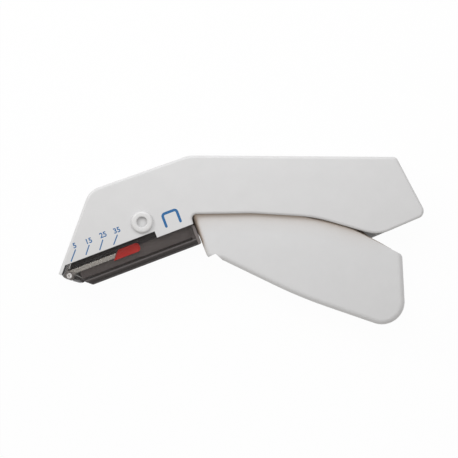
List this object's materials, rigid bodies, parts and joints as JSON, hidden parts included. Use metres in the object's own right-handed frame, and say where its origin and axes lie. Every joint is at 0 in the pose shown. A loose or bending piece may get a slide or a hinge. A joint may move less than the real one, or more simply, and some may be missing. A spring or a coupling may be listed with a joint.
{
  "type": "skin stapler",
  "caption": "White moulded skin stapler lying on its side, with a sprung trigger, a forked driver and a smoky clear staple magazine.",
  "frame": {"origin": "centre of the outline in plan, on the flat outer face of the far housing shell", "axes": "+X along the housing from the nose to its rear end, +Y from the trigger to the housing's top edge, +Z through the thickness from the far face to the near face with the raised pin head"},
  "size_m": [0.1498, 0.0694, 0.0214],
  "materials": {
    "housing_white": "satin",
    "trigger_white": "satin",
    "smoked_clear": "clear, smoke grey",
    "black_plastic": "matt",
    "red_plastic": "gloss",
    "sheet_steel": "plain sheet",
    "dark_steel": "darkened",
    "spring_steel": "drawn wire",
    "staple_wire": "drawn wire"
  },
  "bodies": {
    "body": {"housing_near": "housing_white", "housing_far": "housing_white", "pivot_pin": "housing_white", "pin_cap": "housing_white", "return_spring": "spring_steel", "guide_plate": "sheet_steel", "nose_pin_near": "sheet_steel", "nose_pin_far": "sheet_steel", "magazine_body": "smoked_clear", "magazine_cover": "smoked_clear", "magazine_lid": "black_plastic", "rear_cap": "smoked_clear", "anvil_rail": "dark_steel", "ejector_leaf": "spring_steel", "staple_stack": "staple_wire", "follower_spring": "spring_steel", "guide_rod": "spring_steel"},
    "trigger": {"trigger": "trigger_white"},
    "driver": {"driver_carrier": "trigger_white", "driver_blade": "sheet_steel", "driver_rivet_near": "sheet_steel", "driver_rivet_far": "sheet_steel"},
    "follower": {"follower": "red_plastic"}
  },
  "joints": [
    {"name": "trigger_pivot", "type": "hinge", "parent": "body", "child": "trigger", "pos_m": [-0.04064, 0.00739, 0.01], "axis": [0, 0, 1], "range_deg": [0, 15], "stiffness_Nm_per_rad": 0.5, "springref_deg": -20.05, "deforming": ["return_spring"]},
    {"name": "driver_slide", "type": "slide", "parent": "body", "child": "driver", "axis": [-0.3453, -0.9385, 0], "range_m": [0, 0.00486]},
    {"name": "follower_feed", "type": "slide", "parent": "body", "child": "follower", "axis": [-0.9348, -0.3551, 0], "range_m": [0, 0.02108], "deforming": ["follower_spring", "staple_stack"]}
  ],
  "couplings": [
    {"joint": "driver_slide", "follows": "trigger_pivot", "m_per_rad": 0.018547}
  ]
}
